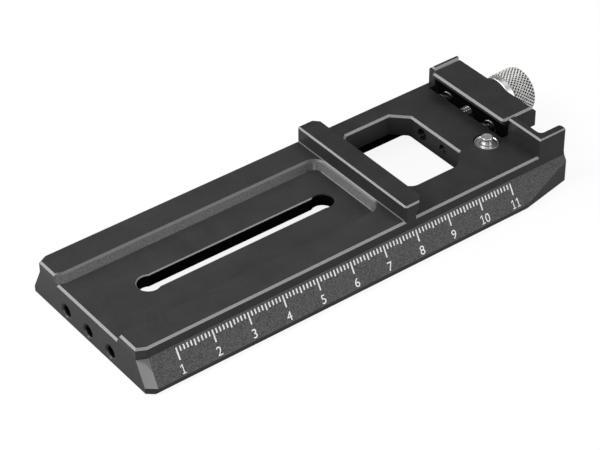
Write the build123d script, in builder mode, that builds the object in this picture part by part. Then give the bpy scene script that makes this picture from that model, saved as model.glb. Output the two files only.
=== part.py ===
from build123d import *
from math import radians, tan
import os

# The plate is measured from its left end, where the scale starts, and X is zero
# under the clamping face of the fixed jaw. Z is zero on the underside.
datum_from_end = 80.1

# Outside of the plate
body_length = 128.0
base_width = 50.0
top_width = 42.3
plate_thickness = 11.2
side_wall_height = 2.93
foot_height = 1.85
edge_break = 0.5
foot_break = 0.7
foot_end_break = 0.3
cutter_reach = 5.0

# Clamp end of the plate, whose lower part is a little longer
end_step = 0.22
end_step_height = 9.6
corner_taper_length = 15.2
corner_taper_width = 2.95

# Corners at the left end, cut in plan
corner_cut_length = 2.4
corner_cut_width = 1.25
corner_cut_drop = 3.1
foot_cut_length = 2.3
foot_cut_width = 1.95

# Camera pocket between the rails
rail_width = 8.0
pocket_depth = 2.3
pocket_wall_lean = 29.0
pocket_corner_radius = 2.2
mouth_flare = 0.9
mouth_flare_length = 1.9

# Keyhole slot in the pocket floor, and the recess below it where the screw head runs
slot_from_end = 14.35
slot_length = 56.8
slot_width = 4.9
slot_eye_radius = 2.9
slot_edge_break = 0.25
recess_roof = 5.4
head_recess_width = 19.0
head_recess_margin = 4.4
recess_corner_radius = 2.0

# Threaded holes in the left end face
end_hole_radius = 1.65
end_hole_mouth_radius = 2.0
end_hole_depth = 7.0
end_hole_point = 1.0
end_hole_spacing = 9.15
end_hole_height = 3.2

# Fixed jaw, a ridge across the plate
fixed_jaw_back = 3.3
fixed_lip_reach = 2.56
fixed_jaw_height = 4.33
fixed_lip_height = 0.7
fixed_lip_corner = 1.8
fixed_jaw_corner = 0.4
fixed_jaw_edge_break = 0.38
jaw_angle = 45.0

# Window through the plate and the wider recess under it
window_to_jaw = 3.8
clamp_wall_length = 12.1
window_near = 11.0
window_far = 15.45
window_corner = 3.9
window_corner_round = 2.6
window_recess_reach = 4.8
window_recess_near = 14.0
window_recess_far = 18.7

# Cut-out for the moving jaw, with the thin wall and the arms around it
channel_to_end = 10.3
channel_near = 9.45
end_wall_to_end = 8.35
end_wall_thickness = 1.85
end_wall_chamfer = 0.4
end_wall_height = 5.0
near_arm_thickness = 2.05
far_arm_thickness = 2.4
arm_inner_radius = 1.2
arm_end_radius = 0.8
arm_edge_break = 0.3
far_arm_chamfer = 1.1
far_arm_inner_chamfer = 0.6

# Moving jaw
jaw_gap = 3.3
jaw_side_clearance = 0.15
jaw_ground_clearance = 0.4
jaw_lip_reach = 3.1
jaw_lip_height = 0.7
jaw_lip_corner_radius = 1.2
jaw_stem_thickness = 6.5
jaw_head_overhang = 1.5
jaw_head_drop = 6.05
jaw_back_chamfer = 1.65
jaw_boss_radius = 6.0
jaw_boss_length = 2.9

# Clamp screw and knob
screw_to_far_wall = 11.65
screw_axis_height = 8.3
screw_radius = 2.0
screw_tip_depth = 8.3
screw_core_radius = 1.65
thread_run_out = 0.4
thread_travel = 3.0
screw_point_break = 0.4
thread_clearance = 0.05
screw_jaw_clearance = 0.1
knob_radius = 6.2
knob_length = 8.4
knob_collar_radius = 6.0
knob_collar_length = 1.8
knob_end_round = 0.4
knob_seat_gap = 0.05
knob_bore_depth = 6.0

# Guide rods and their springs
rod_radius = 1.25
rod_pitch = 16.2
rod_length = 20.4
rod_recess = 0.9
rod_end_break = 0.3
rod_seat_clearance = 0.01
rod_jaw_clearance = 0.05
spring_pocket_radius = 2.5
spring_pocket_depth = 2.5
spring_radius = 1.85
spring_wire_radius = 0.22
spring_turns = 4
spring_end_gap = 0.05

# Safety pin with its sleeve and spring
pin_to_channel = 3.9
pin_axis_y = -8.2
pin_radius = 1.45
pin_stand = 1.5
pin_top_round = 0.25
pin_shoulder_radius = 2.05
pin_shoulder_height = 1.2
pin_clearance = 0.05
sleeve_flange_radius = 3.25
sleeve_flange_thickness = 0.6
sleeve_flange_drop = 0.25
sleeve_flange_clearance = 0.15
sleeve_radius = 2.6
sleeve_guide_length = 2.2
sleeve_length = 5.6
sleeve_seat_clearance = 0.01
pin_hole_depth = 9.4
pin_spring_radius = 1.6
pin_spring_wire_radius = 0.2
pin_spring_turns = 5

# Places worked out from the sizes above
left_end = -datum_from_end
right_end = left_end + body_length
slope_top = plate_thickness - side_wall_height
jaw_top = plate_thickness + end_wall_height
pocket_floor = plate_thickness - pocket_depth
channel_x = right_end - channel_to_end
channel_far = top_width / 2 - far_arm_thickness
screw_axis_y = channel_far - screw_to_far_wall
end_wall_x = right_end - end_wall_to_end
jaw_face_x = channel_x + jaw_gap
jaw_back_x = jaw_face_x + jaw_stem_thickness
jaw_boss_x = jaw_back_x + jaw_boss_length
knob_x = jaw_boss_x + knob_seat_gap
window_x = window_to_jaw
window_end_x = channel_x - clamp_wall_length
window_length = window_end_x - window_x
rod_rows = (screw_axis_y - rod_pitch / 2, screw_axis_y + rod_pitch / 2)
rod_start_x = window_end_x + rod_recess
screw_tip_x = channel_x - screw_tip_depth
pin_x = channel_x - pin_to_channel


def across_x(x, y):
    """Plane square to X, with its origin at the height of the clamp screw."""
    return Plane(origin=(x, y, screw_axis_height), x_dir=(0, 1, 0), z_dir=(1, 0, 0))


def corner_cutter(side):
    """Wedge that takes off one corner at the left end, wider at the foot than at the wall."""
    break_height = plate_thickness - corner_cut_drop
    with BuildPart() as cutter:
        for height, depth, length, width in (
            (foot_height, base_width / 2, foot_cut_length, foot_cut_width),
            (break_height, top_width / 2, corner_cut_length, corner_cut_width),
        ):
            run = width / length
            with BuildSketch(Plane.XY.offset(height)):
                with BuildLine():
                    Polyline(
                        (left_end - cutter_reach, side * (depth - width - cutter_reach * run)),
                        (left_end + length + cutter_reach, side * (depth + cutter_reach * run)),
                        (left_end + length + cutter_reach, side * base_width),
                        (left_end - cutter_reach, side * base_width),
                        close=True,
                    )
                make_face()
        loft(ruled=True)
        extrude(cutter.faces().sort_by(Axis.Z)[-1], amount=corner_cut_drop + edge_break)
        extrude(cutter.faces().sort_by(Axis.Z)[0], amount=foot_height + edge_break)
    return cutter.part


def coil_spring(start, direction, length, radius, wire_radius, turns):
    """Open coil spring with its first turn's centre line at the start point."""
    with BuildPart() as spring:
        with BuildLine() as wire:
            Helix(pitch=length / turns, height=length, radius=radius, center=start, direction=direction)
        with BuildSketch(wire.line ^ 0):
            Circle(wire_radius)
        sweep(is_frenet=True)
    return spring.part


# Fixed jaw, made as a bar across the plate and joined to it
with BuildPart() as fixed_jaw:
    lip_bottom = plate_thickness + fixed_jaw_height - fixed_lip_height
    root_height = lip_bottom - fixed_lip_reach / tan(radians(jaw_angle))
    with BuildSketch(Plane.XZ):
        with BuildLine():
            Polyline(
                (-fixed_jaw_back, slope_top),
                (-fixed_jaw_back, plate_thickness + fixed_jaw_height - fixed_jaw_edge_break),
                (-fixed_jaw_back + fixed_jaw_edge_break, plate_thickness + fixed_jaw_height),
                (fixed_lip_reach, plate_thickness + fixed_jaw_height),
                (fixed_lip_reach, lip_bottom),
                (0, root_height),
                (0, slope_top),
                close=True,
            )
        make_face()
    extrude(amount=top_width / 2, both=True)
    lip_corners = fixed_jaw.edges().filter_by(Axis.Z).group_by(Axis.X)[-1]
    chamfer(lip_corners, length=fixed_lip_corner)
    back_corners = fixed_jaw.edges().filter_by(Axis.Z).group_by(Axis.X)[0]
    chamfer(back_corners, length=fixed_jaw_corner)
    bar_top = fixed_jaw.faces().sort_by(Axis.Z)[-1]
    bar_ends = bar_top.edges().filter_by(Axis.X)
    chamfer(bar_ends, length=fixed_jaw_edge_break)


# Raised end wall and arms, still solid between them
with BuildPart() as end_frame:
    with BuildSketch(Plane.YZ.offset(end_wall_x)):
        with BuildLine():
            Polyline(
                (-top_width / 2, end_step_height - edge_break),
                (-top_width / 2, jaw_top - arm_edge_break),
                (-top_width / 2 + arm_edge_break, jaw_top),
                (top_width / 2 - far_arm_chamfer, jaw_top),
                (top_width / 2, jaw_top - far_arm_chamfer),
                (top_width / 2, end_step_height - edge_break),
                close=True,
            )
        make_face()
    extrude(amount=right_end - end_wall_x)


# Plate, machined from one bar
with BuildPart() as plate:
    with BuildSketch(Plane.YZ.offset(left_end)):
        with BuildLine():
            Polyline(
                (0, 0),
                (base_width / 2 - foot_break, 0),
                (base_width / 2, foot_break),
                (base_width / 2, foot_height),
                (top_width / 2, slope_top),
                (top_width / 2, plate_thickness),
                (0, plate_thickness),
            )
            mirror(about=Plane.YZ)
        make_face()
    extrude(amount=body_length + end_step)

    # Corners, tapered at the clamp end and cut short at the left end
    taper_x = right_end + end_step - corner_taper_length
    with BuildSketch(Plane.XY):
        with BuildLine():
            run = corner_taper_width / corner_taper_length
            tip_x = right_end + end_step + cutter_reach
            Polyline(
                (taper_x, base_width / 2),
                (tip_x, base_width / 2 - corner_taper_width - cutter_reach * run),
                (tip_x, base_width / 2 + cutter_reach),
                (taper_x, base_width / 2 + cutter_reach),
                close=True,
            )
        make_face()
        mirror(about=Plane.XZ)
    extrude(amount=plate_thickness, mode=Mode.SUBTRACT)
    for side in (-1, 1):
        add(corner_cutter(side), mode=Mode.SUBTRACT)
    top_rim = plate.faces().sort_by(Axis.Z)[-1].edges()
    chamfer(top_rim.sort_by(Axis.X)[:-1], length=edge_break)
    foot_rim = plate.faces().sort_by(Axis.Z)[0].edges().sort_by(Axis.X)
    chamfer(foot_rim[-3:-1], length=foot_break)
    foot_rim = plate.faces().sort_by(Axis.Z)[0].edges().sort_by(Axis.X)
    chamfer(foot_rim[:3], length=foot_end_break)

    # End of the lower part, which leans out below the arms
    with BuildSketch(Plane.XZ):
        with BuildLine():
            Polyline(
                (right_end, jaw_top),
                (right_end, end_step_height),
                (right_end + end_step, slope_top),
                (right_end + end_step + cutter_reach, slope_top),
                (right_end + end_step + cutter_reach, jaw_top),
                close=True,
            )
        make_face()
    extrude(amount=base_width / 2, both=True, mode=Mode.SUBTRACT)
    add(end_frame.part)
    add(fixed_jaw.part)

    # Camera pocket with leaning walls, a chamfered rim and a flared mouth
    wall_height = pocket_depth - edge_break
    wall_run = wall_height * tan(radians(pocket_wall_lean))
    floor_half_width = top_width / 2 - rail_width - edge_break - wall_run
    floor_end_x = -fixed_jaw_back - edge_break - wall_run
    mouth_half_width = floor_half_width + mouth_flare * (1 + cutter_reach / mouth_flare_length)
    with BuildSketch(Plane.XY.offset(pocket_floor)) as pocket_outline:
        with BuildLine():
            Polyline(
                (left_end - cutter_reach, 0),
                (left_end - cutter_reach, mouth_half_width),
                (left_end + mouth_flare_length, floor_half_width),
                (floor_end_x, floor_half_width),
                (floor_end_x, 0),
            )
            mirror(about=Plane.XZ)
        make_face()
        far_corners = pocket_outline.vertices().group_by(Axis.X)[-1]
        fillet(far_corners, radius=pocket_corner_radius)
    extrude(amount=wall_height, taper=-pocket_wall_lean, mode=Mode.SUBTRACT)
    with BuildSketch(Plane.XY.offset(plate_thickness - edge_break)) as rim_outline:
        with BuildLine():
            Polyline(
                (left_end - cutter_reach, 0),
                (left_end - cutter_reach, mouth_half_width + wall_run),
                (left_end + mouth_flare_length, floor_half_width + wall_run),
                (floor_end_x + wall_run, floor_half_width + wall_run),
                (floor_end_x + wall_run, 0),
            )
            mirror(about=Plane.XZ)
        make_face()
        far_corners = rim_outline.vertices().group_by(Axis.X)[-1]
        fillet(far_corners, radius=pocket_corner_radius + wall_run)
    extrude(amount=edge_break, taper=-45, mode=Mode.SUBTRACT)

    # Keyhole slot and the recess under it
    slot_middle = left_end + slot_from_end + slot_length / 2
    eye_offset = slot_length / 2 - slot_eye_radius
    with BuildSketch(Plane.XY):
        with Locations((slot_middle, 0)):
            Rectangle(2 * eye_offset, slot_width)
        with Locations((slot_middle - eye_offset, 0), (slot_middle + eye_offset, 0)):
            Circle(slot_eye_radius)
    extrude(amount=plate_thickness, mode=Mode.SUBTRACT)
    slot_rim = (
        plate.edges()
        .filter_by_position(Axis.Z, pocket_floor, pocket_floor)
        .filter_by_position(Axis.Y, -slot_eye_radius, slot_eye_radius)
        .filter_by_position(Axis.X, left_end + slot_from_end, left_end + slot_from_end + slot_length)
    )
    chamfer(slot_rim, length=slot_edge_break)
    with BuildSketch(Plane.XY):
        with Locations((slot_middle, 0)):
            RectangleRounded(slot_length + 2 * head_recess_margin, head_recess_width, recess_corner_radius)
    extrude(amount=recess_roof, mode=Mode.SUBTRACT)

    # Window with cut corners, its top rim chamfer and the recess under it
    window_width = window_near + window_far
    window_middle = (window_x + window_length / 2, (window_far - window_near) / 2)
    with BuildSketch(Plane.XY) as window_outline:
        with Locations(window_middle):
            Rectangle(window_length, window_width)
        chamfer(window_outline.vertices(), length=window_corner)
        near_left = window_outline.vertices().sort_by_distance((window_x, -window_near))[:2]
        fillet(near_left, radius=window_corner_round)
    extrude(amount=plate_thickness, mode=Mode.SUBTRACT)
    recess_width = window_recess_near + window_recess_far
    recess_length = window_length + window_recess_reach
    recess_middle = (window_x + recess_length / 2, (window_recess_far - window_recess_near) / 2)
    with BuildSketch(Plane.XY) as recess_outline:
        with Locations(recess_middle):
            RectangleRounded(recess_length, recess_width, recess_corner_radius)
    extrude(amount=recess_roof, mode=Mode.SUBTRACT)
    window_rim = (
        plate.edges()
        .filter_by_position(Axis.Z, plate_thickness, plate_thickness)
        .filter_by_position(Axis.X, window_x, window_end_x)
        .filter_by_position(Axis.Y, -window_near, window_far)
    )
    chamfer(window_rim, length=edge_break)

    # Cut-out for the moving jaw
    near_arm_y = -top_width / 2 + near_arm_thickness
    with BuildSketch(Plane.XY) as channel_outline:
        with BuildLine():
            Polyline(
                (channel_x, channel_far),
                (right_end + end_step, channel_far),
                (right_end + end_step, near_arm_y),
                (end_wall_x + end_wall_thickness, near_arm_y),
                (end_wall_x + end_wall_thickness, -channel_near),
                (channel_x, -channel_near),
                close=True,
            )
        make_face()
        wall_foot = (end_wall_x + end_wall_thickness, near_arm_y)
        wall_corner = channel_outline.vertices().sort_by_distance(wall_foot)[0]
        fillet(wall_corner, radius=arm_inner_radius)
    extrude(amount=jaw_top, mode=Mode.SUBTRACT)
    far_arm_edge = (
        plate.edges()
        .filter_by(Axis.X)
        .filter_by_position(Axis.Z, jaw_top, jaw_top)
        .filter_by_position(Axis.Y, channel_far, channel_far)
    )
    chamfer(far_arm_edge, length=far_arm_inner_chamfer)
    wall_edge = (
        plate.edges()
        .filter_by(Axis.Y)
        .filter_by_position(Axis.X, end_wall_x, end_wall_x)
        .filter_by_position(Axis.Z, jaw_top, jaw_top)
    )
    chamfer(wall_edge, length=end_wall_chamfer)
    arm_tips = (
        plate.edges()
        .filter_by(Axis.Z)
        .filter_by_position(Axis.X, right_end, right_end)
        .filter_by_position(Axis.Z, end_step_height, jaw_top)
        .sort_by(Axis.Y)[1:-1]
    )
    fillet(arm_tips, radius=arm_end_radius)

    # Threaded hole for the clamp screw, open at its core to the window, and the rods' seats
    with BuildSketch(across_x(channel_x, screw_axis_y)):
        Circle(screw_core_radius)
    extrude(amount=window_end_x - channel_x, mode=Mode.SUBTRACT)
    thread_end_x = screw_tip_x - thread_travel - thread_run_out
    with BuildSketch(across_x(channel_x, screw_axis_y)):
        Circle(screw_radius + thread_clearance)
    extrude(amount=thread_end_x - channel_x, mode=Mode.SUBTRACT)
    for row in rod_rows:
        with BuildSketch(across_x(channel_x, row)):
            Circle(rod_radius + rod_seat_clearance)
        extrude(amount=window_end_x - channel_x, mode=Mode.SUBTRACT)

    # Hole for the safety pin's sleeve and spring
    with BuildSketch(Plane.XY.offset(plate_thickness)):
        with Locations((pin_x, pin_axis_y)):
            Circle(sleeve_radius + sleeve_seat_clearance)
    extrude(amount=-pin_hole_depth, mode=Mode.SUBTRACT)
    with BuildSketch(Plane.XY.offset(plate_thickness)):
        with Locations((pin_x, pin_axis_y)):
            Circle(sleeve_flange_radius + sleeve_flange_clearance)
    extrude(amount=-(sleeve_flange_drop + sleeve_flange_thickness), mode=Mode.SUBTRACT)

    # Threaded holes in the left end, with the drill's point at the bottom
    point_align = (Align.CENTER, Align.CENTER, Align.MIN)
    for row in (-end_hole_spacing, 0, end_hole_spacing):
        end_plane = Plane(origin=(left_end, row, end_hole_height), x_dir=(0, 1, 0), z_dir=(1, 0, 0))
        with BuildSketch(end_plane):
            Circle(end_hole_radius)
        extrude(amount=end_hole_depth, mode=Mode.SUBTRACT)
        with BuildSketch(end_plane):
            Circle(end_hole_mouth_radius)
        mouth_depth = end_hole_mouth_radius - end_hole_radius
        extrude(amount=mouth_depth, taper=45, mode=Mode.SUBTRACT)
        with Locations(end_plane.offset(end_hole_depth)):
            Cone(end_hole_radius, 0, end_hole_point, align=point_align, mode=Mode.SUBTRACT)

    # Chamfer across the left end of the pocket floor
    mouth_width = 2 * (floor_half_width + mouth_flare)
    with BuildSketch(Plane.XZ):
        with BuildLine():
            Polyline(
                (left_end - edge_break, pocket_floor - 2 * edge_break),
                (left_end + edge_break, pocket_floor),
                (left_end - edge_break, pocket_floor),
                close=True,
            )
        make_face()
    extrude(amount=mouth_width / 2, both=True, mode=Mode.SUBTRACT)


# Moving jaw, one bar with a lip, a stem between the arms and a boss for the knob
jaw_near = -channel_near + jaw_side_clearance
jaw_far = channel_far - jaw_side_clearance
with BuildPart() as jaw:
    lip_x = jaw_face_x - jaw_lip_reach
    lip_bottom = jaw_top - edge_break - jaw_lip_height
    face_top = lip_bottom - jaw_lip_reach / tan(radians(jaw_angle))
    head_x = jaw_back_x + jaw_head_overhang
    with BuildSketch(Plane.XZ.offset(-jaw_near)):
        with BuildLine():
            Polyline(
                (jaw_face_x, jaw_ground_clearance),
                (jaw_face_x, face_top),
                (lip_x, lip_bottom),
                (lip_x, jaw_top),
                (head_x - jaw_back_chamfer, jaw_top),
                (head_x, jaw_top - jaw_back_chamfer),
                (head_x, jaw_top - jaw_head_drop),
                (jaw_back_x, jaw_top - jaw_head_drop),
                (jaw_back_x, jaw_ground_clearance),
                close=True,
            )
        make_face()
    extrude(amount=jaw_near - jaw_far)
    lip_corners = jaw.edges().filter_by(Axis.Z).group_by(Axis.X)[0]
    fillet(lip_corners, radius=jaw_lip_corner_radius)
    jaw_rim = jaw.faces().sort_by(Axis.Z)[-1].edges()
    back_rim = jaw_rim.filter_by(Axis.Y).sort_by(Axis.X)[-1]
    far_rim = jaw_rim.filter_by(Axis.X).sort_by(Axis.Y)[-1]
    far_corner = jaw_rim.filter_by(GeomType.CIRCLE).sort_by(Axis.Y)[-1]
    plain_rims = (back_rim, far_rim, far_corner)
    chamfer([edge for edge in jaw_rim if edge not in plain_rims], length=edge_break)
    with BuildSketch(across_x(jaw_back_x, screw_axis_y)):
        Circle(jaw_boss_radius)
    extrude(amount=jaw_boss_length)
    with BuildSketch(across_x(jaw_face_x, screw_axis_y)):
        Circle(screw_radius + screw_jaw_clearance)
    extrude(amount=jaw_stem_thickness + jaw_boss_length, mode=Mode.SUBTRACT)
    for row in rod_rows:
        with BuildSketch(across_x(jaw_face_x, row)):
            Circle(rod_radius + rod_jaw_clearance)
        extrude(amount=jaw_stem_thickness, mode=Mode.SUBTRACT)
        with BuildSketch(across_x(jaw_face_x, row)):
            Circle(spring_pocket_radius)
        extrude(amount=spring_pocket_depth, mode=Mode.SUBTRACT)


# Clamp screw, threaded into the plate and fixed in the knob
with BuildPart() as screw:
    with BuildSketch(across_x(screw_tip_x, screw_axis_y)):
        Circle(screw_radius)
    extrude(amount=knob_x + knob_bore_depth - screw_tip_x)
    chamfer(screw.edges().group_by(Axis.X)[0], length=screw_point_break)


# Knob, a turned drum with a smooth collar against the jaw
with BuildPart() as knob:
    with BuildSketch(across_x(knob_x, screw_axis_y)):
        Circle(knob_collar_radius)
    extrude(amount=knob_collar_length)
    with BuildSketch(across_x(knob_x + knob_collar_length, screw_axis_y)):
        Circle(knob_radius)
    extrude(amount=knob_length - knob_collar_length)
    fillet(knob.edges().group_by(Axis.X)[-1], radius=knob_end_round)
    with BuildSketch(across_x(knob_x, screw_axis_y)):
        Circle(screw_radius)
    extrude(amount=knob_bore_depth, mode=Mode.SUBTRACT)


# Guide rods, pressed into the plate, on which the jaw slides
rods = []
for row in rod_rows:
    with BuildPart() as rod:
        with BuildSketch(across_x(rod_start_x, row)):
            Circle(rod_radius)
        extrude(amount=rod_length)
        chamfer(rod.edges().group_by(Axis.X)[0], length=rod_end_break)
        chamfer(rod.edges().group_by(Axis.X)[-1], length=rod_end_break)
    rods.append(rod)


# Springs on the rods, from the plate to the bottom of the jaw's pockets
spring_room = jaw_gap + spring_pocket_depth
jaw_springs = []
for row in rod_rows:
    first_turn = (channel_x + spring_wire_radius + spring_end_gap, row, screw_axis_height)
    run_length = spring_room - 2 * (spring_wire_radius + spring_end_gap)
    jaw_springs.append(
        coil_spring(first_turn, (1, 0, 0), run_length, spring_radius, spring_wire_radius, spring_turns)
    )


# Sleeve pressed into the plate, which holds the safety pin down
flange_top = plate_thickness - sleeve_flange_drop
with BuildPart() as sleeve:
    with BuildSketch(Plane.XY.offset(flange_top)):
        with Locations((pin_x, pin_axis_y)):
            Circle(sleeve_flange_radius)
    extrude(amount=-sleeve_flange_thickness)
    with BuildSketch(Plane.XY.offset(flange_top)):
        with Locations((pin_x, pin_axis_y)):
            Circle(sleeve_radius)
    extrude(amount=-sleeve_length)
    with BuildSketch(Plane.XY.offset(flange_top)):
        with Locations((pin_x, pin_axis_y)):
            Circle(pin_radius + pin_clearance)
    extrude(amount=-sleeve_length, mode=Mode.SUBTRACT)
    with BuildSketch(Plane.XY.offset(flange_top - sleeve_guide_length)):
        with Locations((pin_x, pin_axis_y)):
            Circle(pin_shoulder_radius + pin_clearance)
    extrude(amount=sleeve_guide_length - sleeve_length, mode=Mode.SUBTRACT)


# Safety pin, stopped by its shoulder under the sleeve's guide
shoulder_top = flange_top - sleeve_guide_length - pin_clearance
with BuildPart() as pin:
    with BuildSketch(Plane.XY.offset(plate_thickness + pin_stand)):
        with Locations((pin_x, pin_axis_y)):
            Circle(pin_radius)
    extrude(amount=shoulder_top - plate_thickness - pin_stand)
    fillet(pin.edges().group_by(Axis.Z)[-1], radius=pin_top_round)
    with BuildSketch(Plane.XY.offset(shoulder_top)):
        with Locations((pin_x, pin_axis_y)):
            Circle(pin_shoulder_radius)
    extrude(amount=-pin_shoulder_height)


# Spring under the safety pin, on the bottom of its hole
hole_bottom = plate_thickness - pin_hole_depth
pin_spring_start = (pin_x, pin_axis_y, hole_bottom + pin_spring_wire_radius + spring_end_gap)
pin_spring_top = shoulder_top - pin_shoulder_height - pin_spring_wire_radius - spring_end_gap
pin_spring = coil_spring(
    pin_spring_start,
    (0, 0, 1),
    pin_spring_top - pin_spring_start[2],
    pin_spring_radius,
    pin_spring_wire_radius,
    pin_spring_turns,
)


# One file for each piece
os.makedirs("parts", exist_ok=True)
pieces = {
    "plate_body": plate.part,
    "moving_jaw": jaw.part,
    "clamp_screw": screw.part,
    "clamp_knob": knob.part,
    "guide_rod_near": rods[0].part,
    "guide_rod_far": rods[1].part,
    "jaw_spring_near": jaw_springs[0],
    "jaw_spring_far": jaw_springs[1],
    "safety_pin_sleeve": sleeve.part,
    "safety_pin": pin.part,
    "safety_pin_spring": pin_spring,
}
for name, piece in pieces.items():
    piece.label = name
    export_step(piece, f"parts/{name}.step")
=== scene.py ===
import math

import bmesh
import bpy
from mathutils import Matrix, Vector


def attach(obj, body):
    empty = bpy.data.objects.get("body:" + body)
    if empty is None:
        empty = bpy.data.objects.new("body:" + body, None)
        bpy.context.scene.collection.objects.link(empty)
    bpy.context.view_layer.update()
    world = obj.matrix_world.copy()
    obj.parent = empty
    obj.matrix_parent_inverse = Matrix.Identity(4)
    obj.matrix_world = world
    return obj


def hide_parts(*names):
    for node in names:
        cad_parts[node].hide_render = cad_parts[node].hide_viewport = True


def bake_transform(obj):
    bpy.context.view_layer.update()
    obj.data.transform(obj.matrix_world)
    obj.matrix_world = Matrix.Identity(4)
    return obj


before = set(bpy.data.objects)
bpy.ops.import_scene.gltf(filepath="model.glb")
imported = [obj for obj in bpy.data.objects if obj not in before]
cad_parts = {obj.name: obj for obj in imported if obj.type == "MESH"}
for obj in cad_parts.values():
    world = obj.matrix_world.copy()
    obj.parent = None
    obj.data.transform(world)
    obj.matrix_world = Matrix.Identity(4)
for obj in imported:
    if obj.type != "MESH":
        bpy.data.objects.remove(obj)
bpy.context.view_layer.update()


# Table and camera. The plate lies on a plain white table and is seen from the left,
# the front and above, with a long lens. The table shows white and keeps the shadow.

class Signal:
    """A value or colour that runs through a finish, with sums on it written as Python."""

    def __init__(self, finish, socket):
        self.finish = finish
        self.socket = socket

    def maths(self, operation, *values):
        return self.finish.node(
            "ShaderNodeMath", {"operation": operation}, dict(enumerate(values))
        )

    def __add__(self, other):
        return self.maths("ADD", self, other)

    __radd__ = __add__

    def __sub__(self, other):
        return self.maths("SUBTRACT", self, other)

    def __rsub__(self, other):
        return self.maths("SUBTRACT", other, self)

    def __mul__(self, other):
        return self.maths("MULTIPLY", self, other)

    __rmul__ = __mul__

    def __truediv__(self, other):
        return self.maths("DIVIDE", self, other)

    def __abs__(self):
        return self.maths("ABSOLUTE", self)

    def clipped(self):
        """The value, held between 0 and 1."""
        return self.maths("MINIMUM", self.maths("MAXIMUM", self, 0.0), 1.0)


class Finish:
    """A finish that is built up node by node, for a material or for the room."""

    def __init__(self, owner):
        self.owner = owner
        owner.use_nodes = True
        self.tree = owner.node_tree
        self.tree.nodes.clear()

    def node(self, kind, settings, inputs, output=0):
        """Adds a node with its settings and inputs, and gives back one of its outputs."""
        made = self.tree.nodes.new(kind)
        for key, value in settings.items():
            setattr(made, key, value)
        for key, value in inputs.items():
            if isinstance(value, Signal):
                self.tree.links.new(value.socket, made.inputs[key])
            else:
                made.inputs[key].default_value = value
        return Signal(self, made.outputs[output]) if made.outputs else None

    def parts(self, vector):
        """The three parts of a vector: along X, Y and Z."""
        cut = self.node("ShaderNodeSeparateXYZ", {}, {"Vector": vector}).socket.node
        return [Signal(self, output) for output in cut.outputs]

    def blend(self, share, first, second):
        """A colour between two others."""
        return self.node(
            "ShaderNodeMix", {"data_type": "RGBA"}, {0: share, 6: first, 7: second}, 2
        )

    def surface(self, shader, ending="ShaderNodeOutputMaterial"):
        """Ends the finish, and gives back the material or room that it belongs to."""
        self.node(ending, {}, {"Surface": shader})
        return self.owner


def new_object(name, builder, material):
    """An object of a finished mesh with one material."""
    mesh = bpy.data.meshes.new(name)
    builder.to_mesh(mesh)
    builder.free()
    mesh.materials.append(material)
    made = bpy.data.objects.new(name, mesh)
    bpy.context.scene.collection.objects.link(made)
    return made


white = (1, 1, 1, 1)
paper_lit = (0.36, 0.36, 0.36, 1)
glow_seen = 0.9
glow_mirrored = 0.22
table_half = 30.0
table_drop = 0.00005
table_squares = 8

table_white = Finish(bpy.data.materials.new("table_white"))
by_camera = table_white.node("ShaderNodeLightPath", {}, {}, "Is Camera Ray")
by_gloss = table_white.node("ShaderNodeLightPath", {}, {}, "Is Glossy Ray")
by_glass = table_white.node("ShaderNodeLightPath", {}, {}, "Is Transmission Ray")
paper_tone = table_white.blend(by_camera, paper_lit, white)
paper = table_white.node("ShaderNodeBsdfDiffuse", {}, {"Color": paper_tone})
glow = table_white.node("ShaderNodeEmission", {}, {"Color": white, "Strength": 1.0})
share_lit = ((by_camera + by_glass) * glow_seen + by_gloss * glow_mirrored).clipped()
table_finish = table_white.surface(
    table_white.node("ShaderNodeMixShader", {}, {0: share_lit, 1: paper, 2: glow})
)
table_builder = bmesh.new()
bmesh.ops.create_grid(
    table_builder, x_segments=table_squares, y_segments=table_squares, size=table_half
)
bmesh.ops.translate(table_builder, verts=table_builder.verts, vec=(0, 0, -table_drop))
new_object("table", table_builder, table_finish)

picture_width = 600
lens = bpy.data.cameras.new("camera")
lens.sensor_width = 36.0
lens.lens = 135.218
lens.shift_x = -0.5 / picture_width
lens.shift_y = 0.2 / picture_width
lens.clip_start = 0.05
lens.clip_end = 60.0
camera = bpy.data.objects.new("camera", lens)
camera_right = Vector((0.79325931, -0.60885390, -0.00605000))
camera_up = Vector((0.37668543, 0.48291826, 0.79050493))
camera_back = Vector((-0.47838035, -0.62935434, 0.61242579))
camera_place = Vector((-0.27966, -0.34347, 0.33890))
camera.matrix_world = Matrix(
    [*zip(camera_right, camera_up, camera_back, camera_place), (0, 0, 0, 1)]
)
bpy.context.scene.collection.objects.link(camera)
bpy.context.scene.camera = camera
bpy.context.scene.view_settings.view_transform = "Standard"


# Light. A pale room, which the camera sees as white, with broad soft lamps above, at the
# front, at the left and beside the camera. The plate's slopes and edges mirror them.

room_strength = 0.24
lamps = (
    ("front_lamp", (0.478, -0.612, 0.629), 0.6, 26),
    ("front_low_lamp", (0.47, -0.85, 0.24), 0.5, 30),
    ("left_lamp", (-0.612, 0.629, 0.478), 0.9, 26),
    ("left_low_lamp", (-0.79, 0.6, 0.12), 0.3, 30),
    ("camera_lamp", (-0.52, -0.68, 0.52), 0.4, 30),
    ("top_lamp", (0.45, 0.15, 0.88), 0.42, 34),
)

room = Finish(bpy.data.worlds.new("room"))
seen = room.node("ShaderNodeLightPath", {}, {}, "Is Camera Ray")
brightness = seen * (1 - room_strength) + room_strength
air = room.node("ShaderNodeBackground", {}, {"Color": white, "Strength": brightness})
bpy.context.scene.world = room.surface(air, "ShaderNodeOutputWorld")


def hang(light, towards, place=(0, 0, 0)):
    """Puts a lamp in the scene, shining from the direction it is hung in."""
    lamp = bpy.data.objects.new(light.name, light)
    lamp.location = place
    lamp.rotation_mode = "QUATERNION"
    lamp.rotation_quaternion = Vector(towards).to_track_quat("Z", "Y")
    bpy.context.scene.collection.objects.link(lamp)


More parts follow.
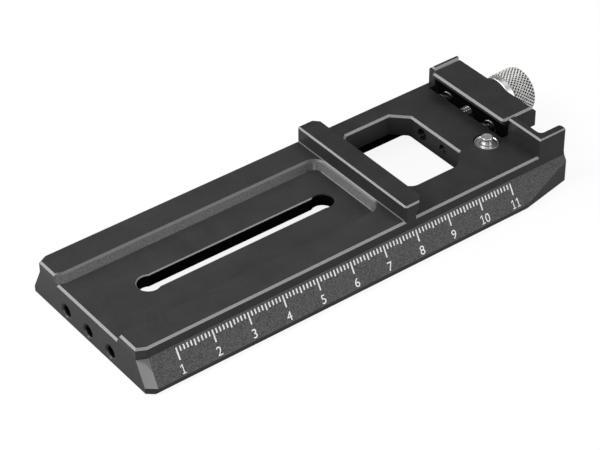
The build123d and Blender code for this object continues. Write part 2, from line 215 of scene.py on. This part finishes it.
for name, towards, power, spread in lamps:
    sun = bpy.data.lights.new(name, "SUN")
    sun.energy = power
    sun.angle = math.radians(spread)
    hang(sun, towards)

near_light = bpy.data.lights.new("left_end_lamp", "AREA")
near_light.shape = "DISK"
near_light.size = 0.25
near_light.energy = 1.5
hang(near_light, (-0.25, 0.05, 0.36), (-0.33, 0.05, 0.36))


# Plate body. One bar of aluminium, milled, blasted and anodised black. The slopes keep
# their coarse blasted grain, painted paler as painted light; the bevels are smooth and carry
# a painted highlight, and deep places carry painted shade.

mm = 0.001
black_dye = (0.01, 0.01, 0.011, 1)
black_worn = (0.03, 0.03, 0.031, 1)
painted_bevel_highlight = (0.25, 0.25, 0.255, 1)
blasted_dark = (0.022, 0.022, 0.023, 1)
blasted_grain_painted_light = (0.1, 0.1, 0.102, 1)
painted_light_tone = (0.16, 0.16, 0.162, 1)
painted_shade_black = (0.003, 0.003, 0.003, 1)

bevel_rise, bevel_reach, bevel_sharp = 0.7071, 1.6, 32
slope_rise, slope_reach, slope_sharp = 0.5, 2.0, 14
far_dimming = 3
corner_lean, corner_turn, corner_low, corner_high = -0.38, 0.6, 0.3, 0.52
corner_soft = 1 / 15

cloud_tint, fine_tint, speckle_tint = 1.2, 3, 4.5
bevel_cover, bevel_grain, corner_cover, edge_cover = 0.8, 0.2, 0.9, 0.8
painted_light_cover, painted_light_slope_cover = 0.06, 0.26
black_roughness, blasted_rougher, bevel_smoother = 0.38, 0.1, 0.04
cloud_roughness, fine_roughness = 0.06, 0.05
fine_relief, bevel_relief = 0.4, 0.3


def noise(finish, point, scale, detail, roughness):
    """A soft random pattern, as values round a half."""
    return finish.node(
        "ShaderNodeTexNoise",
        {},
        {"Vector": point, "Scale": scale, "Detail": detail, "Roughness": roughness},
    )


def black_anodised(name, painted_shade_places, painted_edge_highlights=(), dimmer_highlight_places=(), painted_light_places=()):
    """Black anodised aluminium with grainy slopes, painted highlights on bevels and edges, a
    painted paler tone on slopes and painted shade in deep places.
    """
    finish = Finish(bpy.data.materials.new(name))
    point = finish.node("ShaderNodeTexCoord", {}, {}, "Object")
    facing = finish.node("ShaderNodeNewGeometry", {}, {}, "True Normal")
    along, across, height = finish.parts(point)
    lean, turn, rise = finish.parts(facing)

    def past(first, second, soft):
        """From 0 to 1 as the first value goes past the second, over a soft border."""
        return ((first - second) / soft).clipped()

    def inside(box, soft, fade=None):
        """How far a point is inside a box with soft sides, and a top of its own softness."""
        start, end, near, far, foot, top = box
        return (
            past(along, start, soft)
            * past(end, along, soft)
            * past(across, near, soft)
            * past(far, across, soft)
            * past(height, foot, soft)
            * past(top, height, fade or soft)
        )

    bevel = (bevel_reach - abs(rise - bevel_rise) * bevel_sharp).clipped()
    # Painted highlight: bevels that face the far side are painted dimmer, as they face away from
    # the lamps.
    bevel = bevel * (1 - (turn * far_dimming).clipped())
    # Less painted highlight on the bevels inside these places.
    for place, amount in dimmer_highlight_places:
        bevel = bevel * (1 - inside(place, 0.1 * mm) * amount)
    # Painted highlight on the corner facets that face the front and the camera.
    painted_corner_highlight = (
        past(corner_lean, lean, corner_soft)
        * past(abs(turn), corner_turn, corner_soft)
        * past(rise, corner_low, corner_soft)
        * past(corner_high, rise, corner_soft)
    )
    slope = (slope_reach - abs(rise - slope_rise) * slope_sharp).clipped()

    fine = noise(finish, point, 5200.0, 2.0, 0.7)
    grain = noise(finish, point, 3200.0, 3.0, 0.6)
    cloud = noise(finish, point, 130.0, 4.0, 0.55)
    worn = ((cloud - 0.5) * cloud_tint + (fine - 0.5) * fine_tint + 0.5).clipped()
    speckle = ((grain - 0.5) * speckle_tint + 0.5).clipped()
    dye = finish.blend(worn, black_dye, black_worn)
    # The slopes' blasted speckle is real grain; their paler overall tone is painted light, as
    # these faces tilt towards the lamps.
    dye = finish.blend(slope, dye, finish.blend(speckle, blasted_dark, blasted_grain_painted_light))
    # The bevels' pale tone is a painted highlight.
    dye = finish.blend(bevel * (bevel_cover + fine * bevel_grain), dye, painted_bevel_highlight)
    dye = finish.blend(painted_corner_highlight * corner_cover, dye, painted_bevel_highlight)
    # Painted light: a paler tone over these places, stronger on their sloping faces.
    for place in painted_light_places:
        share = inside(place, 0.2 * mm) * (painted_light_cover + slope * painted_light_slope_cover)
        dye = finish.blend(share, dye, painted_light_tone)
    # Thin painted highlights along the feet of walls, where a small radius would catch the
    # light.
    for place in painted_edge_highlights:
        dye = finish.blend(inside(place, 0.02 * mm) * edge_cover, dye, painted_bevel_highlight)

    unevenness = (cloud - 0.5) * cloud_roughness + (fine - 0.5) * fine_roughness
    roughness = black_roughness + unevenness + slope * blasted_rougher - bevel * bevel_smoother
    bumps = fine * fine_relief + grain * slope - bevel * fine * bevel_relief
    relief = finish.node(
        "ShaderNodeBump", {}, {"Strength": 0.4, "Distance": 0.08 * mm, "Height": bumps}
    )
    metal = finish.node(
        "ShaderNodeBsdfPrincipled",
        {},
        {"Base Color": dye, "Roughness": roughness, "Normal": relief, "IOR": 1.42},
    )
    # Painted shade: a dull near-black sheet mixed in inside the given boxes, fading in from
    # their tops.
    painted_shade = finish.node("ShaderNodeBsdfDiffuse", {}, {"Color": painted_shade_black, "Roughness": 0.6})
    shade_share = sum(inside(place, 0.4 * mm, fade) for place, fade in painted_shade_places).clipped()
    return finish.surface(finish.node("ShaderNodeMixShader", {}, {0: shade_share, 1: metal, 2: painted_shade}))


def dress(node, material):
    """Gives a part of the frame its finish."""
    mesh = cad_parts[node].data
    mesh.materials.clear()
    mesh.materials.append(material)


def in_mm(*sizes):
    """Sizes given in millimetres. A box has its left, right, near, far, foot and top."""
    return tuple(size * mm for size in sizes)


# Boxes of painted shade: the slot, the window with a long fade down from its top, and the end
# holes.
slot_shade = in_mm(-71.5, -3.6, -10.0, 10.0, -1.0, 8.6)
window_shade = in_mm(3.0, 31.0, -14.6, 19.2, -1.0, 10.6)
hole_rows = (-9.15, 0.0, 9.15)
holes_shade = [in_mm(-79.8, -72.0, row - 1.9, row + 1.9, 0.6, 5.4) for row in hole_rows]
# Thin strips of painted highlight at the foot of the jaw ridge and of the pocket wall.
jaw_foot_highlight = in_mm(-3.47, -3.27, -22.0, 22.0, 11.0, 11.4)
pocket_foot_highlight = in_mm(-4.95, -4.7, -11.6, 9.5, 8.8, 9.05)
# Less painted highlight on the pocket rim and on the mouths of the end holes.
pocket_rim = in_mm(-81.0, -3.4, -13.6, 13.6, 9.4, 11.5)
# The top of the camera half gets the painted paler tone.
camera_half = in_mm(-81.0, -3.4, -21.1, 21.1, 8.6, 11.6)
hole_mouths = in_mm(-81.0, -79.0, -11.6, 11.6, 0.6, 5.6)
plate_black = black_anodised(
    "plate_black",
    painted_shade_places=[(slot_shade, 0.2 * mm), (window_shade, 8.0 * mm)]
    + [(hole, 0.3 * mm) for hole in holes_shade],
    painted_edge_highlights=(jaw_foot_highlight, pocket_foot_highlight),
    dimmer_highlight_places=((pocket_rim, 0.6), (hole_mouths, 0.84)),
    painted_light_places=(camera_half,),
)
dress("plate_body", plate_black)


# Centimetre scale. White paint, printed on the near slope: a tick for every millimetre
# from 1 to 11 cm, longer at each fifth and tenth, and a number below each long tick.

scale_zero = -80.32 * mm
slope_top = Vector((0, -21.15 * mm, 8.27 * mm))
slope_foot = Vector((0, -25.0 * mm, 1.85 * mm))
down_slope = (slope_foot - slope_top).normalized()
off_slope = down_slope.cross(Vector((1, 0, 0))).normalized()
paint_height = 0.015 * mm
paint_pale = (0.82, 0.82, 0.82, 1)
paint_bright = (0.98, 0.98, 0.98, 1)
first_tick, last_tick = 10, 110
tick_start = 0.62 * mm
tick_width = 0.38 * mm
tick_ends = {1: 1.85 * mm, 5: 2.2 * mm, 10: 3.66 * mm}
number_top = 4.72 * mm
number_height = 2.26 * mm
number_pitch = 1.5 * mm
digit_share = 0.72
one_in_mm = (
    ((-0.12, 0.0), (0.12, 0.0), (0.12, 2.26), (-0.12, 2.26)),
    ((-0.12, 0.02), (-0.12, 0.32), (-0.58, 0.66), (-0.58, 0.42)),
    ((-0.5, 2.05), (-0.12, 2.05), (-0.12, 2.26), (-0.5, 2.26)),
    ((0.12, 2.05), (0.5, 2.05), (0.5, 2.26), (0.12, 2.26)),
)

scale_white = Finish(bpy.data.materials.new("scale_white"))
print_point = scale_white.node("ShaderNodeTexCoord", {}, {}, "Object")
print_grain = noise(scale_white, print_point, 2400.0, 2.0, 0.5)
print_colour = scale_white.blend(print_grain, paint_pale, paint_bright)
print_roughness = 0.5 + print_grain * 0.2
scale_paint = scale_white.surface(
    scale_white.node(
        "ShaderNodeBsdfPrincipled",
        {},
        {"Base Color": print_colour, "Roughness": print_roughness},
    )
)


def on_slope(along, down, above):
    """A point of the near slope: along the scale, down from its top edge and off its face."""
    top_edge = Vector((scale_zero + along, 0, 0)) + slope_top
    return top_edge + down_slope * down + off_slope * above


def paint_patch(builder, outline):
    """One printed patch of four corners on the slope, a hair proud of it."""
    corners = [
        builder.verts.new(on_slope(along, down, above))
        for above in (-paint_height, paint_height)
        for along, down in outline
    ]
    builder.faces.new(corners[4:])
    for side in range(4):
        after = (side + 1) % 4
        builder.faces.new((corners[side], corners[after], corners[after + 4], corners[side + 4]))


def riding_piece(name, builder, material, body):
    """A piece that rides on a body of the frame."""
    piece = new_object(name, builder, material)
    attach(piece, body)
    return piece


ticks = bmesh.new()
for count in range(first_tick, last_tick + 1):
    kind = 10 if count % 10 == 0 else 5 if count % 5 == 0 else 1
    left, right = count * mm - tick_width / 2, count * mm + tick_width / 2
    foot = tick_ends[kind]
    paint_patch(ticks, ((left, tick_start), (right, tick_start), (right, foot), (left, foot)))
bmesh.ops.recalc_face_normals(ticks, faces=ticks.faces)
riding_piece("scale_ticks", ticks, scale_paint, "plate")

numbers = bmesh.new()
for count in range(first_tick // 10, last_tick // 10 + 1):
    digits = str(count)
    for place, digit in enumerate(digits):
        middle = count * 10 * mm + (place - (len(digits) - 1) / 2) * number_pitch
        if digit == "1":
            for outline in one_in_mm:
                paint_patch(
                    numbers,
                    [(middle + along * mm, number_top + down * mm) for along, down in outline],
                )
            continue
        wording = bpy.data.curves.new("digit", "FONT")
        wording.body = digit
        wording.align_x = "CENTER"
        wording.size = number_height / digit_share
        wording.extrude = paint_height
        holder = bpy.data.objects.new("digit", wording)
        shape = bpy.data.meshes.new_from_object(holder)
        for corner in shape.vertices:
            along, height, above = corner.co
            corner.co = on_slope(middle + along, number_top + number_height - height, above)
        numbers.from_mesh(shape)
        bpy.data.objects.remove(holder)
bmesh.ops.recalc_face_normals(numbers, faces=numbers.faces)
riding_piece("scale_numbers", numbers, scale_paint, "plate")


# Threads in the end holes. Tapped in the plate, so they are as black as it is: a fine
# ridge that winds into each of the three holes of the left end.

end_face = -80.1 * mm
hole_height = 3.2 * mm
tapped_radius = 1.66 * mm
tapped_ridge = 0.22 * mm
tapped_pitch = 0.7 * mm
tapped_start = 0.45 * mm
tapped_turns = 8
tapped_steps = 32
ridge_profile = (
    (-0.3, tapped_radius),
    (0.0, tapped_radius - tapped_ridge),
    (0.3, tapped_radius),
)


def skin(builder, rings, closed=True):
    """Faces from each ring of points to the next, given back row by row."""
    rows = []
    for first, second in zip(rings, rings[1:]):
        row = []
        for side in range(len(first) if closed else len(first) - 1):
            after = (side + 1) % len(first)
            row.append(
                builder.faces.new((first[side], first[after], second[after], second[side]))
            )
        rows.append(row)
    return rows


tapping = bmesh.new()
for row in hole_rows:
    loops = []
    for step in range(tapped_turns * tapped_steps + 1):
        angle = 2 * math.pi * step / tapped_steps
        run = end_face + tapped_start + tapped_pitch * step / tapped_steps
        loops.append(
            [
                tapping.verts.new(
                    (
                        run + offset * tapped_pitch,
                        row * mm + radius * math.cos(angle),
                        hole_height + radius * math.sin(angle),
                    )
                )
                for offset, radius in ridge_profile
            ]
        )
    skin(tapping, loops, closed=False)
riding_piece("end_hole_threads", tapping, plate_black, "plate")


# Guide rods. Two ground steel pins, pressed into the plate on both sides of the clamp
# screw. The jaw slides on them, and their solids need nothing but a finish.

mark_tone = 0.75
mark_roughness = 0.12


def bright_steel(name, colour, roughness, stretch, fineness, metallic=1.0):
    """Bright metal, with fine tool marks that a stretch can draw out round the piece."""
    finish = Finish(bpy.data.materials.new(name))
    point = finish.node("ShaderNodeTexCoord", {}, {}, "Object")
    stretched = finish.node(
        "ShaderNodeVectorMath", {"operation": "MULTIPLY"}, {0: point, 1: stretch}
    )
    marks = noise(finish, stretched, fineness, 3.0, 0.6)
    darker = tuple(mark_tone * part for part in colour[:3]) + (1,)
    relief = finish.node(
        "ShaderNodeBump", {}, {"Strength": 0.12, "Distance": 0.02 * mm, "Height": marks}
    )
    metal = finish.node(
        "ShaderNodeBsdfPrincipled",
        {},
        {
            "Base Color": finish.blend(marks, darker, colour),
            "Metallic": metallic,
            "Roughness": roughness + (marks - 0.5) * mark_roughness,
            "Normal": relief,
        },
    )
    return finish.surface(metal)


rod_steel = bright_steel("rod_steel", (0.32, 0.32, 0.32, 1), 0.3, (1.0, 0.15, 0.15), 3000.0)
dress("guide_rod_near", rod_steel)
dress("guide_rod_far", rod_steel)


# Springs. Drawn spring wire: one round each guide rod, which pushes the jaw open, and
# one under the safety pin. The turns are spaced to lie evenly when the spring is pushed in.

coil_steps = 192
wire_sides = 10
give = 0.3 * mm
spring_steel = bright_steel("spring_steel", (0.3, 0.3, 0.3, 1), 0.3, (1.0, 1.0, 1.0), 4000.0)


def coil(node, foot, body, towards, length, travel, radius, wire, turns):
    """A wound spring from the middle of its first turn, between the plate and a body; the body
    argument is not used.
    """
    along = Vector(towards)
    out = Vector((0, 1, 0))
    side = along.cross(out)

    def pushed_in(run):
        """Where a point of the spring comes to lie when it is pushed in."""
        share = (run + give) / (length + 2 * give)
        return run - travel * share * share * (3 - 2 * share)

    winding = bmesh.new()
    loops = []
    for step in range(coil_steps + 1):
        run = length * step / coil_steps
        wound = (pushed_in(run) - pushed_in(0)) / (pushed_in(length) - pushed_in(0))
        angle = 2 * math.pi * turns * wound
        spoke = out * math.cos(angle) + side * math.sin(angle)
        middle = Vector(foot) + along * run + spoke * radius
        loops.append(
            [
                winding.verts.new(
                    middle + spoke * wire * math.cos(around) + along * wire * math.sin(around)
                )
                for around in (2 * math.pi * place / wire_sides for place in range(wire_sides))
            ]
        )
    skin(winding, loops)
    winding.faces.new(loops[0])
    winding.faces.new(list(reversed(loops[-1])))
    bmesh.ops.recalc_face_normals(winding, faces=winding.faces)
    spring = new_object(node + "_coil", winding, spring_steel)
    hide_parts(node)
    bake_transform(spring)


jaw_spring = {
    "body": "jaw",
    "towards": (1, 0, 0),
    "length": 5.26 * mm,
    "travel": 3.0 * mm,
    "radius": 1.85 * mm,
    "wire": 0.22 * mm,
    "turns": 4,
}
coil("jaw_spring_near", in_mm(37.87, -1.0, 8.3), **jaw_spring)
coil("jaw_spring_far", in_mm(37.87, 15.2, 8.3), **jaw_spring)
coil(
    "safety_pin_spring",
    in_mm(33.7, -8.2, 2.05),
    body="pin",
    towards=(0, 0, 1),
    length=5.2 * mm,
    travel=1.5 * mm,
    radius=1.6 * mm,
    wire=0.2 * mm,
    turns=5,
)


# Sleeve of the safety pin. Turned from stainless steel with a dished flange and a round
# rim, and pressed into the plate until the rim is just below its face.

pin_centre = (33.7 * mm, -8.2 * mm)
rim_top = 10.95 * mm
rim_round = 0.28 * mm
flange_radius = 3.25 * mm
round_sides = 72


def rounded_edge(radius, top, size):
    """The quarter round from the side of a turned piece up to its top face."""
    return [
        (radius - size * (1 - math.cos(angle)), top - size * (1 - math.sin(angle)))
        for angle in (math.radians(15 * step) for step in range(7))
    ]


def turned(profile, capped):
    """A mesh spun round the safety pin's axis from points of radius and height."""
    builder = bmesh.new()
    rings = []
    for radius, height in profile:
        ring = []
        for side in range(round_sides):
            angle = 2 * math.pi * side / round_sides
            across_x = pin_centre[0] + radius * math.cos(angle)
            across_y = pin_centre[1] + radius * math.sin(angle)
            ring.append(builder.verts.new((across_x, across_y, height)))
        rings.append(ring)
    skin(builder, rings)
    if capped:
        builder.faces.new(rings[-1])
        builder.faces.new(list(reversed(rings[0])))
    bmesh.ops.recalc_face_normals(builder, faces=builder.faces)
    return builder


sleeve_shank = [in_mm(2.6, 5.6), in_mm(2.6, 10.35), (flange_radius, 10.35 * mm)]
sleeve_dish = [
    (2.78 * mm, rim_top - 0.04 * mm),
    (2.6 * mm, rim_top - 0.22 * mm),
    (1.8 * mm, rim_top - 0.24 * mm),
    (1.52 * mm, rim_top - 0.4 * mm),
    in_mm(1.52, 8.8),
]
sleeve_steel = bright_steel("sleeve_steel", (0.62, 0.62, 0.61, 1), 0.33, (0.4, 0.4, 1.0), 3000.0)
sleeve = riding_piece(
    "safety_sleeve_turned",
    turned(
        sleeve_shank + rounded_edge(flange_radius, rim_top, rim_round) + sleeve_dish,
        capped=False,
    ),
    sleeve_steel,
    "plate",
)
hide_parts("safety_pin_sleeve")


# Safety pin. Turned from stainless steel with a rounded top edge; a spring under it
# lets a camera plate push it down flush.

pin_radius = 1.5 * mm
pin_top = 12.7 * mm
pin_round = 0.2 * mm

pin_foot = [in_mm(2.05, 7.5), in_mm(2.05, 8.7), (pin_radius, 8.7 * mm)]
pin_face = [(0.9 * mm, pin_top), (0.8 * mm, pin_top - 0.05 * mm)]
pin_steel = bright_steel("pin_steel", (0.8, 0.8, 0.79, 1), 0.34, (0.3, 0.3, 1.0), 3000.0)
pin_piece = riding_piece(
    "safety_pin_turned",
    turned(pin_foot + rounded_edge(pin_radius, pin_top, pin_round) + pin_face, capped=True),
    pin_steel,
    "pin",
)
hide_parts("safety_pin")


# Moving jaw. Milled from the same aluminium as the plate, blasted and dyed with it, and
# slid onto the guide rods. The space under its lip is painted near black as painted shade.

under_lip_shade = in_mm(37.3, 41.4, -9.6, 19.0, -1.0, 15.4)
dress("moving_jaw", black_anodised("jaw_black", [(under_lip_shade, 3.0 * mm)]))


# Clamp screw. A bright steel screw with a rolled thread. It runs from the plate through
# the jaw into the knob, which is fixed on it.

axis_y = 7.1 * mm
axis_z = 8.3 * mm
screw_tip = 29.3 * mm
screw_end = 56.0 * mm
screw_crest = 2.0 * mm
screw_root = 1.62 * mm
screw_pitch = 0.7 * mm
crest_width = 1.35
flank_slope = 3.1
tip_length = 0.5 * mm
tip_cut = 0.45 * mm
screw_sides = 48
rings_per_turn = 12


def round_axis(builder, along, sides, radius_at):
    """One ring of points round the clamp's axis, whose radius may differ round it."""
    ring = []
    for side in range(sides):
        angle = 2 * math.pi * side / sides
        radius = radius_at(angle)
        across_y = axis_y + radius * math.cos(angle)
        across_z = axis_z + radius * math.sin(angle)
        ring.append(builder.verts.new((along, across_y, across_z)))
    return ring


def thread_at(along):
    """The thread's radius round the screw at one place along it."""
    taken = max(0.0, 1 - (along - screw_tip) / tip_length)

    def radius_at(angle):
        turn = ((along - screw_tip) / screw_pitch - angle / (2 * math.pi)) % 1
        rise = min(1.0, max(0.0, crest_width - flank_slope * abs(turn - 0.5)))
        radius = screw_root + (screw_crest - screw_root) * rise
        return min(radius, screw_crest - tip_cut * taken)

    return radius_at


threading = bmesh.new()
ring_count = round((screw_end - screw_tip) / screw_pitch * rings_per_turn)
thread_rings = []
for step in range(ring_count + 1):
    along = screw_tip + (screw_end - screw_tip) * step / ring_count
    thread_rings.append(round_axis(threading, along, screw_sides, thread_at(along)))
skin(threading, thread_rings)
threading.faces.new(thread_rings[0])
threading.faces.new(list(reversed(thread_rings[-1])))
bmesh.ops.recalc_face_normals(threading, faces=threading.faces)
screw_steel = bright_steel("screw_steel", (0.3, 0.3, 0.3, 1), 0.3, (1.0, 1.0, 1.0), 2600.0)
thread = riding_piece("clamp_screw_thread", threading, screw_steel, "knob")
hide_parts("clamp_screw")


# Clamp knob. Turned from aluminium and left silver, with a smooth collar against the jaw
# and a rolled diamond knurl; its outer end is faced flat. The knurl's pits are painted near
# black as painted shade.

knob_start = 50.35 * mm
collar_end = 52.15 * mm
knob_end = 58.75 * mm
collar_radius = 6.0 * mm
collar_bevel = 0.25 * mm
knurl_radius = 6.3 * mm
knurl_depth = 0.4 * mm
knurl_around = 38
knurl_length = 1.19 * mm
knurl_flank = 2.3
knurl_start = collar_end + 0.1 * mm
knurl_run = knob_end - collar_end - 0.4 * mm
knob_sides = knurl_around * 14
knurl_rows = 84
pit_share = 0.42
silver_face, pit_shade_face, collar_face = 0, 1, 2


def knurl_shape(along, angle):
    """How far a point of the knurl is from the grooves of both hands, from 0 to a half."""
    around = knurl_around * angle / (2 * math.pi)
    steps = (along - collar_end) / knurl_length
    return 0.5 - abs((around + steps) % 1 - 0.5), 0.5 - abs((around - steps) % 1 - 0.5)


def knurl_at(along):
    """The knurl's radius round the knob at one place along it."""

    def radius_at(angle):
        rise = min(1.0, knurl_flank * min(knurl_shape(along, angle)))
        return knurl_radius - knurl_depth * (1 - rise)

    return radius_at


def plain_rings(builder, profile):
    """Round rings on the clamp's axis from points of place along it and radius."""
    return [
        round_axis(builder, along, knob_sides, lambda angle: radius)
        for along, radius in profile
    ]


turning = bmesh.new()
collar_rings = plain_rings(
    turning,
    (
        (knob_start, 2.0 * mm),
        (knob_start, collar_radius - collar_bevel),
        (knob_start + collar_bevel, collar_radius),
        (collar_end - 0.05 * mm, collar_radius),
        (collar_end, collar_radius - 0.1 * mm),
    ),
)
knurl_places = [knurl_start + knurl_run * step / knurl_rows for step in range(knurl_rows + 1)]
knurl_rings = [
    round_axis(turning, along, knob_sides, knurl_at(along)) for along in knurl_places
]
end_rings = plain_rings(
    turning,
    (
        (knob_end - 0.05 * mm, knurl_radius - 0.5 * mm),
        (knob_end, knurl_radius - 0.65 * mm),
        (knob_end, 3.0 * mm),
        (knob_end - 0.3 * mm, 2.7 * mm),
    ),
)
knob_rows = skin(turning, collar_rings + knurl_rings + end_rings)
for row in knob_rows[: len(collar_rings)]:
    for face in row:
        face.material_index = collar_face
knurl_faces = knob_rows[len(collar_rings) : len(collar_rings) + knurl_rows]
# Faces in the knurl's pits get the near-black painted shade.
for row, start, end in zip(knurl_faces, knurl_places, knurl_places[1:]):
    for side, face in enumerate(row):
        angle = 2 * math.pi * (side + 0.5) / knob_sides
        in_pit = sum(knurl_shape((start + end) / 2, angle)) < pit_share
        face.material_index = pit_shade_face if in_pit else silver_face
turning.faces.new(list(reversed(end_rings[-1])))
bmesh.ops.recalc_face_normals(turning, faces=turning.faces)

round_marks = (1.0, 0.2, 0.2)
knob_silver = bright_steel("knob_silver", (0.9, 0.9, 0.89, 1), 0.4, round_marks, 2600.0, 0.55)
# Painted shade for the knurl's pits.
knurl_pit_shade = bright_steel("knurl_pit_shade", (0.02, 0.02, 0.02, 1), 0.6, (1.0, 1.0, 1.0), 2600.0)
collar_silver = bright_steel("collar_silver", (0.7, 0.7, 0.69, 1), 0.4, round_marks, 2600.0)
knob = riding_piece("clamp_knob_knurled", turning, knob_silver, "knob")
knob.data.materials.append(knurl_pit_shade)
knob.data.materials.append(collar_silver)
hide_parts("clamp_knob")
